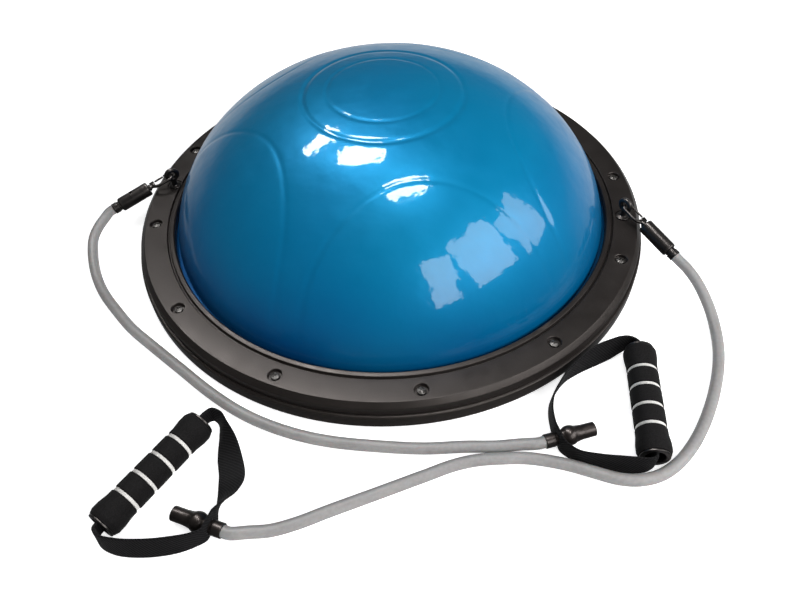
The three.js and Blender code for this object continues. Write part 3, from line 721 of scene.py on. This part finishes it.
def dome():
    """The inflated half ball: a wall with relief outside, and the flange that the ring clamps."""
    sides, rows, inner_rows = 480, 182, 16
    turn = 2 * math.pi * np.arange(sides) / sides
    a, b = DOME_RADIUS, DOME_HEIGHT  # half axes
    lowest = math.acos((DOME_SKIRT_Z - DOME_CENTRE_Z) / b)
    vertices = []
    for angle in np.linspace(lowest, 0, rows + 1)[:-1]:
        radius, height = a * math.sin(angle), b * math.cos(angle)
        normal = Vector((radius / a**2, height / b**2)).normalized()
        relief = dome_relief(np.full(sides, radius), turn, normal[1])
        settle = min(1, 4 * (lowest - angle))
        r = radius + normal[0] * relief * settle
        z = DOME_CENTRE_Z + height + normal[1] * relief * settle
        vertices += list(zip(r * np.cos(turn), r * np.sin(turn), z))
    outside = len(vertices) // sides
    inner_turns = [lowest * k / inner_rows for k in range(inner_rows, 0, -1)]
    inner = [(a - DOME_WALL) * math.sin(angle) for angle in inner_turns]
    heights = [DOME_CENTRE_Z + (b - DOME_WALL) * math.cos(angle) for angle in inner_turns]
    lower = [
        (a - 3, FLANGE_TOP), (FLANGE_RADIUS - 0.6, FLANGE_TOP), (FLANGE_RADIUS, FLANGE_TOP - 0.6),
        (FLANGE_RADIUS, FLANGE_BOTTOM), (inner[0], FLANGE_BOTTOM),
    ]
    for r, z in lower + list(zip(inner, heights)):
        vertices += [(r * math.cos(t), r * math.sin(t), z) for t in turn]
    rings = [list(range(k * sides, (k + 1) * sides)) for k in range(len(vertices) // sides)]
    crown, inside_crown = len(vertices), len(vertices) + 1
    vertices += [(0, 0, DOME_CENTRE_Z + b), (0, 0, DOME_CENTRE_Z + b - DOME_WALL)]
    order = list(reversed(rings[:outside])) + rings[outside:]
    faces = [(order[0][i], order[0][(i + 1) % sides], crown) for i in range(sides)]
    for high, low in zip(order, order[1:]):
        faces += [(low[i], low[(i + 1) % sides], high[(i + 1) % sides], high[i]) for i in range(sides)]
    faces += [(order[-1][(i + 1) % sides], order[-1][i], inside_crown) for i in range(sides)]
    thing = piece("dome_shell", (vertices, faces), "root", "dome_vinyl", ["dome_bladder"], sharp=60)


# ---------- eyelets and snap clips ----------
def clip_matrix(side):
    """X runs from the eyelet to the tube, Y across the hook, Z across its plane."""
    x = side["clip"].normalized()
    y = UP.cross(x).normalized() * side["flip"]
    z = x.cross(y)
    matrix = Matrix((x, y, z)).transposed().to_4x4()
    return Matrix.Translation(side["eye"]) @ matrix


def eyelet(name, side):
    """A ring standing in the clip's heading, joined to a bolt with a flat collar."""
    heading = math.atan2(side["clip"].y, side["clip"].x)
    wire, thread, end = EYE_WIRE_RADIUS, EYE_THREAD_RADIUS, EYE_THREAD_END - EYE_Z
    turns = np.linspace(0, 2 * math.pi, 20, endpoint=False)
    ring = [(EYE_RING_RADIUS + wire * math.cos(t), wire * math.sin(t)) for t in turns]
    upright = Matrix.Rotation(heading, 4, "Z") @ Matrix.Rotation(math.pi / 2, 4, "X")
    stand = Matrix.Translation(side["eye"]) @ upright
    base = EYE_SEAT + GAP - EYE_Z
    stem = rounded([
        (0, end), (thread - 0.8, end), (thread, end + 1.5), (thread, base), (7.5, base, 0.2),
        (7.5, base + 1.7, 0.8), (3.6, base + 2.8, 1.4), (2.6, -EYE_RING_RADIUS), (0, -EYE_RING_RADIUS),
    ], steps=5)
    thing = new_mesh(f"{name}_eye_bolt", moved(turned(ring, 56), stand))
    carve(thing, at(turned(stem, 40), *side["eye"]), "UNION")
    finish_piece(thing, "root", "clip_plastic", [f"{name}_eyelet"])


def hook(name, side):
    """The bent wire that holds the eyelet, on a shank that the barrel swivels round."""
    w = HOOK_HALF_WIDTH
    bow_turns = [math.pi * share for share in (0.5, 0.75, 1, 1.25, 1.5)]
    bow = [(w + w * math.cos(turn), w * math.sin(turn)) for turn in bow_turns]
    line = [(30, 0), (27, 1.4), (23, 4.2), (18.5, w), (12, w), (w + 2, w), *bow, (NOSE_END, -w)]
    points, _ = evenly_spaced([Vector((x, y, 0)) for x, y in line], 0.7)
    count = len(points)
    blunt = [max(0, 1 - (count - 1 - i) / 2) for i in range(count)]
    radii = [HOOK_WIRE_RADIUS * (1 - 0.28 * share**2) for share in blunt]
    shank = rounded([
        (0, 27), (2.2, 27, 0.4), (2.8, BARREL_START - 2.4), (4, BARREL_START - 2.4, 0.4),
        (4, BARREL_START - 0.4, 0.4), (3, BARREL_START - 0.4), (3, BORE_END - 1, 0.8), (0, BORE_END - 1),
    ])
    ear = rounded_block((26.4, -3.2, 0), (6, 7, 3.2), 0.8)
    thing = new_mesh(f"{name}_snap_hook", swept(points, radii, 20))
    carve(thing, moved(turned(shank, 36), AXIS_X), "UNION")
    carve(thing, ear, "UNION")
    thing.data.transform(scaled_to_metres(clip_matrix(side)))
    finish_piece(thing, "root", "clip_plastic", [f"{name}_clip_hook"], sharp=40)


def rounded_block(centre, size, radius):
    """A block with its four long edges, along Z, rounded."""
    x, y, z = (s / 2 for s in size)
    outline = rounded([(-x, -y, radius), (x, -y, radius), (x, y, radius), (-x, y, radius)], closed=True)
    rings = []
    for height, inset in ((-z, 0.25), (-z + 0.25, 0), (z - 0.25, 0), (z, 0.25)):
        shrink = 1 - inset / min(x, y)
        rings.append([Vector((px * shrink, py * shrink, height)) + Vector(centre) for px, py in outline])
    return lofted(rings)


def scaled_to_metres(matrix):
    """The same placing for a mesh that is in metres already."""
    return Matrix.Scale(MM, 4) @ matrix @ Matrix.Scale(1 / MM, 4)


def gate(name, side):
    profile = rounded([
        (0, GATE_START), (GATE_RADIUS, GATE_START, 0.5), (GATE_RADIUS, GATE_PIVOT, 0.2),
        (GATE_RADIUS * 0.7, GATE_PIVOT + 0.85, 0.4), (0, GATE_PIVOT + GATE_RADIUS),
    ])
    matrix = clip_matrix(side) @ Matrix.Translation((0, -HOOK_HALF_WIDTH, 0)) @ AXIS_X
    rod = moved(turned(profile, 24), matrix)
    piece(f"{name}_spring_gate", rod, f"{name}_gate", "clip_plastic", [f"{name}_clip_gate"])


def barrel(name, side):
    r = BARREL_RADIUS
    body = rounded([
        (0, BORE_END), (3.5, BORE_END), (3.5, BARREL_START, 0.6), (r, BARREL_START, 1.7),
        (r, BARREL_START + 8), (r - 0.25, BARREL_START + 8.3), (r - 0.25, BARREL_START + 9),
        (r, BARREL_START + 9.3), (r, BARREL_END, 2.4), (0, BARREL_END),
    ], steps=6)
    thing = new_mesh(f"{name}_swivel_barrel", moved(turned(body, 64), AXIS_X))
    carve(thing, rounded_block((53.5, 0, r - 1.4), (3, 9, 5), 0.8))
    thing.data.transform(scaled_to_metres(clip_matrix(side)))
    finish_piece(thing, f"{name}_swivel", "clip_plastic", [f"{name}_clip_barrel"])


def collar(name, side):
    start, r = BARREL_END + GAP, COLLAR_RADIUS
    profile = [(0, start), (r - 0.8, start), (r - 0.8, start + 2.2, 0.3), (r, start + 3, 0.4)]
    for k in range(2):
        groove = start + 4.6 + 1.6 * k
        profile += [(r, groove - 0.5, 0.2), (r - 0.45, groove, 0.3), (r, groove + 0.5, 0.2)]
    profile += [(r, COLLAR_END, 0.6), (0, COLLAR_END)]
    solid = moved(turned(rounded(profile), 48), clip_matrix(side) @ AXIS_X)
    piece(f"{name}_end_collar", solid, f"{name}_swivel", "clip_plastic", [f"{name}_tube_collar"])


# ---------- handles ----------
def ball_arc(radius, start, end, count):
    """Points round the ball at the tube's end, as (radius, height)."""
    return [(math.sqrt(radius**2 - u**2), BALL_PLACE + u) for u in np.linspace(start, end, count)]


def sleeve(name, handle):
    """The sleeve over the tube's end, bulged by the ball and necked for the webbing, and its plug."""
    r = SLEEVE_RADIUS
    bulge = ball_arc(BALL_RADIUS, -5.4, 6, 13)
    profile = rounded([
        (SLEEVE_BORE, 0, 0.3), (r, 0, 0.5), (r, BALL_PLACE - 13, 3), (r + 0.5, BALL_PLACE - 8.6, 1.5),
        *bulge, (r, BALL_PLACE + 7.6, 0.8), (NECK_RADIUS, NECK_PLACE - 2.5, 0.6),
        (NECK_RADIUS, NECK_PLACE + 2.5, 0.6), (r, NECK_PLACE + 4, 0.6), (r, SLEEVE_LENGTH, 0.5),
        (SLEEVE_BORE, SLEEVE_LENGTH, 0.3), *ball_arc(7.6, 5.2, -5.2, 9),
    ], closed=True)
    matrix = along(handle["sleeve_end"], handle["sleeve_direction"])
    body, nodes = f"{name}_handle", [f"{name}_handle_sleeve"]
    solid = moved(turned(profile, 48), matrix)
    piece(f"{name}_rubber_sleeve", solid, body, "sleeve_rubber", nodes, sharp=45)
    far_end = SLEEVE_LENGTH - 0.8
    plug = rounded([
        (0, -0.8), (4.2, -0.8, 0.3), (4.8, 0, 0.4), *ball_arc(6.9, -4.9, 4.9, 9), (4.8, far_end),
        (0, far_end),
    ])
    solid = moved(turned(plug, 36), matrix)
    piece(f"{name}_tube_end", solid, body, "tube_rubber", [f"{name}_ball_plug"])


def webbing_stations(handle):
    """Stations along the loop: x, y, lean in degrees, fold."""
    def in_grip(distance):
        spot = handle["grip_centre"] + handle["grip_direction"] * distance
        return spot.x, spot.y, 0, 1

    neck = handle["sleeve_end"] + handle["sleeve_direction"] * NECK_PLACE
    across = Vector((handle["sleeve_direction"].y, -handle["sleeve_direction"].x, 0))
    if across.y > 0:
        across.negate()

    def at_neck(distance):
        spot = neck + across * distance
        return spot.x, spot.y, 0, 0

    return [
        *map(in_grip, (0.6, 20, 40, 56, 62.4)), *handle["webbing"], *map(at_neck, (-9, -3, 3, 9)),
        *handle["webbing_back"], *map(in_grip, (-62.4, -56, -40, -20, -0.6)),
    ]


def band_section():
    """The webbing's section, -0.5 to 0.5 each way: flat ribs along it and rolled edges."""
    across = [0.5 * math.sin(math.pi / 2 * u) for u in np.linspace(-1, 1, 33)]
    top = []
    for u in across:
        edge = math.sqrt(max(0.0, 1 - (2 * abs(u)) ** 14))
        rib = 0.09 * (1 - abs(math.cos(7 * math.pi * u)) ** 0.6)
        top.append((u, 0.5 * max(0.12, edge) * (1 - rib)))
    return top + [(u, -v) for u, v in reversed(top)]


def webbing(name, handle):
    """The flat strap from inside the grip round the sleeve's neck and back, with a hole for the neck."""
    stations = webbing_stations(handle)
    centres = []
    for x, y, lean, fold in stations:
        angle = math.radians(lean)
        edge = WEBBING_THICKNESS * abs(math.sin(angle))
        resting = GAP + 0.5 * (WEBBING_WIDTH * math.cos(angle) + edge)
        centres.append(Vector((x, y, resting + (GRIP_Z - resting) * fold)))
    states = [Vector((lean, 100 * fold, 0)) for _, _, lean, fold in stations]
    section, steps = band_section(), WEBBING_STEPS
    spots = [catmull_rom(centres, i / steps) for i in range(steps + 1)]
    lengths = np.concatenate([[0], np.cumsum([(b - a).length for a, b in zip(spots, spots[1:])])])
    rings = []
    for i, spot in enumerate(spots):
        state = catmull_rom(states, i / steps)
        lean, fold = math.radians(state.x), min(max(state.y / 100, 0), 1)
        tangent = spots[min(i + 1, steps)] - spots[max(i - 1, 0)]
        tangent.z = 0
        tangent.normalize()
        wide = UP * math.cos(lean) + UP.cross(tangent) * math.sin(lean)
        thick = tangent.cross(wide)
        width = WEBBING_WIDTH + (FOLDED_WIDTH - WEBBING_WIDTH) * fold
        depth = WEBBING_THICKNESS + (FOLDED_THICKNESS - WEBBING_THICKNESS) * fold
        rings.append([spot + wide * (u * width) + thick * (v * depth) for u, v in section])
    thing = new_mesh(f"{name}_webbing_strap", lofted(rings))
    unwrap_band(thing, lengths, section)
    neck = plain_hole(NECK_RADIUS + 0.6, NECK_PLACE - 6, NECK_PLACE + 6, 40)
    carve(thing, moved(neck, along(handle["sleeve_end"], handle["sleeve_direction"])))
    finish_piece(thing, f"{name}_handle", "webbing", [f"{name}_webbing_loop"], sharp=50)


def unwrap_band(thing, lengths, section):
    """UVs in metres: along the band and across it."""
    layer = thing.data.uv_layers.new(name="along_and_across")
    count = len(section)
    for loop in thing.data.loops:
        ring, place = divmod(loop.vertex_index, count)
        layer.data[loop.index].uv = (lengths[ring] * MM, section[place][0] * WEBBING_WIDTH * MM)


def grip(name, handle):
    """The foam with its light rings and end caps. The core inside it keeps its CAD shape."""
    matrix = along(handle["grip_centre"], handle["grip_direction"])
    body = f"{name}_grip"
    half, groove = FOAM_HALF_LENGTH, SPACER_WIDTH / 2 + GAP
    end = [
        (FOAM_BORE, -half, 0.3), (FOAM_END_RADIUS, -half, 0.8), (FOAM_FLARE_RADIUS, -half + 4, 3.5),
        (FOAM_FLARE_RADIUS, -half + 11, 8), (FOAM_RADIUS, -half + 20, 8),
    ]
    outline = list(end)
    for z in SPACER_PLACES:
        outline += [(FOAM_RADIUS, z - groove, 1.1), (GROOVE_RADIUS, z - groove, 0.2)]
        outline += [(GROOVE_RADIUS, z + groove, 0.2), (FOAM_RADIUS, z + groove, 1.1)]
    outline += [(r, -z, fillet) for r, z, fillet in reversed(end)]
    solid = moved(turned(rounded(outline, closed=True, steps=6), 72), matrix)
    thing = piece(f"{name}_grip_sleeve", solid, body, "grip_foam", [f"{name}_foam_grip"])
    for i, z in enumerate(SPACER_PLACES):
        low, high, inner = z - SPACER_WIDTH / 2, z + SPACER_WIDTH / 2, GROOVE_RADIUS + GAP
        ring = rounded([
            (inner, low), (SPACER_RADIUS, low, 0.5), (SPACER_RADIUS, high, 0.5), (inner, high),
        ], closed=True)
        solid, nodes = moved(turned(ring, 64), matrix), [f"{name}_spacer_ring_{i + 1}"]
        piece(f"{name}_light_ring_{i + 1}", solid, body, "spacer_foam", nodes)
    low = half + 0.1 + GAP
    high = low + CAP_THICKNESS
    cap = rounded([
        (CAP_BORE, low), (CAP_RADIUS, low, 0.2), (CAP_RADIUS, high, 0.7), (CAP_BORE, high, 0.5),
    ], closed=True)
    for place, flip in (("top", 0), ("bottom", math.pi)):
        turned_cap = moved(turned(cap, 64), matrix @ Matrix.Rotation(flip, 4, "X"))
        piece(f"{name}_end_cap_{place}", turned_cap, body, "clip_plastic", [f"{name}_grip_cap_{place}"])
    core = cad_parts[f"{name}_grip_core"]
    core.data.materials.clear()
    core.data.materials.append(MATERIALS["clip_plastic"])


# ---------- floor and light ----------
def make_stage():
    """A white floor that glows a little, and that no reflection shows."""
    mesh = bpy.data.meshes.new("floor")
    reach = 12
    corners = [(-reach, -reach, 0), (reach, -reach, 0), (reach, reach, 0), (-reach, reach, 0)]
    mesh.from_pydata(corners, [], [(0, 1, 2, 3)])
    floor = bpy.data.objects.new("floor", mesh)
    bpy.context.scene.collection.objects.link(floor)
    Paint(
        "floor_white", Base_Color=rgb(0.93, 0.93, 0.93), Roughness=0.7, Specular_IOR_Level=0.2,
        Emission_Color=rgb(1, 1, 1), Emission_Strength=0.7,
    )
    mesh.materials.append(MATERIALS["floor_white"])
    floor.visible_glossy = False


def area_light(name, place, size, power, turn=0.0, shape="RECTANGLE"):
    """A light over the platform, facing the crown. turn is in degrees round the light's own axis."""
    crown = Vector((0, 0, 0.18))
    data = bpy.data.lights.new(name, "AREA")
    data.shape, data.size, data.size_y, data.energy = shape, size[0], size[1], power
    light = bpy.data.objects.new(name, data)
    facing = (crown - Vector(place)).to_track_quat("-Z", "Y").to_matrix().to_4x4()
    light.matrix_world = Matrix.Translation(place) @ facing @ Matrix.Rotation(math.radians(turn), 4, "Z")
    bpy.context.scene.collection.objects.link(light)
    return light


def make_room():
    """A dim room with a pale backdrop behind the object. The camera itself sees pale walls all round."""
    world = bpy.data.worlds.new("room")
    world.use_nodes = True
    tree = world.node_tree
    axes = tree.nodes.new("ShaderNodeSeparateXYZ")
    tree.links.new(tree.nodes.new("ShaderNodeTexCoord").outputs["Generated"], axes.inputs[0])

    def fade(axis, start, end, low, high):
        made = tree.nodes.new("ShaderNodeMapRange")
        tree.links.new(axes.outputs[axis], made.inputs["Value"])
        limits = {"From Min": start, "From Max": end, "To Min": low, "To Max": high}
        for key, value in limits.items():
            made.inputs[key].default_value = value
        return made.outputs["Result"]

    behind = tree.nodes.new("ShaderNodeMath")
    behind.operation = "MULTIPLY_ADD"
    tree.links.new(fade("Y", 0.3, 0.75, 0, 0.8), behind.inputs[0])
    tree.links.new(fade("Z", -0.05, 0.15, 1, 0), behind.inputs[1])
    behind.inputs[2].default_value = 0.09
    seen = tree.nodes.new("ShaderNodeMath")
    seen.operation = "MAXIMUM"
    tree.links.new(behind.outputs[0], seen.inputs[0])
    tree.links.new(tree.nodes.new("ShaderNodeLightPath").outputs["Is Camera Ray"], seen.inputs[1])
    backdrop = tree.nodes["Background"]
    backdrop.inputs["Color"].default_value = rgb(0.95, 0.97, 0.98)
    tree.links.new(seen.outputs[0], backdrop.inputs["Strength"])
    bpy.context.scene.world = world


def make_lights():
    """Three lamps that show only in the gloss, a window of three panes, a soft ceiling and the room."""
    lamps = [
        area_light("lamp_left", (-0.96, 0.73, 1.76), (0.56, 0.26), 15, -5, "ELLIPSE"),
        area_light("lamp_back", (-0.44, 0.48, 2.05), (0.66, 0.44), 31, -36, "ELLIPSE"),
        area_light("lamp_top", (0.28, -0.07, 2.15), (0.64, 0.34), 23, -45, "ELLIPSE"),
    ]
    for lamp in lamps:
        lamp.visible_diffuse = False
    area_light("pane_near", (1.07, -1.46, 1.19), (0.5, 1.02), 12.5)
    area_light("pane_middle", (1.52, -0.74, 1.24), (0.84, 1.12), 22)
    area_light("pane_far", (1.83, 0.06, 1.07), (0.66, 0.95), 12)
    ceiling = area_light("ceiling", (-0.3, -0.2, 2.4), (1.8, 1.8), 23)
    ceiling.visible_glossy = False
    make_room()
    bpy.context.scene.view_settings.view_transform = "Standard"


# ---------- assembly ----------
make_camera()
make_materials()
for name in SIDES:
    tube(name)
platform()
clamp_ring()
screws()
feet()
valve()
dome()
for name, side in SIDES.items():
    eyelet(name, side)
    hook(name, side)
    gate(name, side)
    barrel(name, side)
    collar(name, side)
    sleeve(name, side)
    webbing(name, side)
    grip(name, side)
make_stage()
make_lights()

bpy.context.view_layer.update()
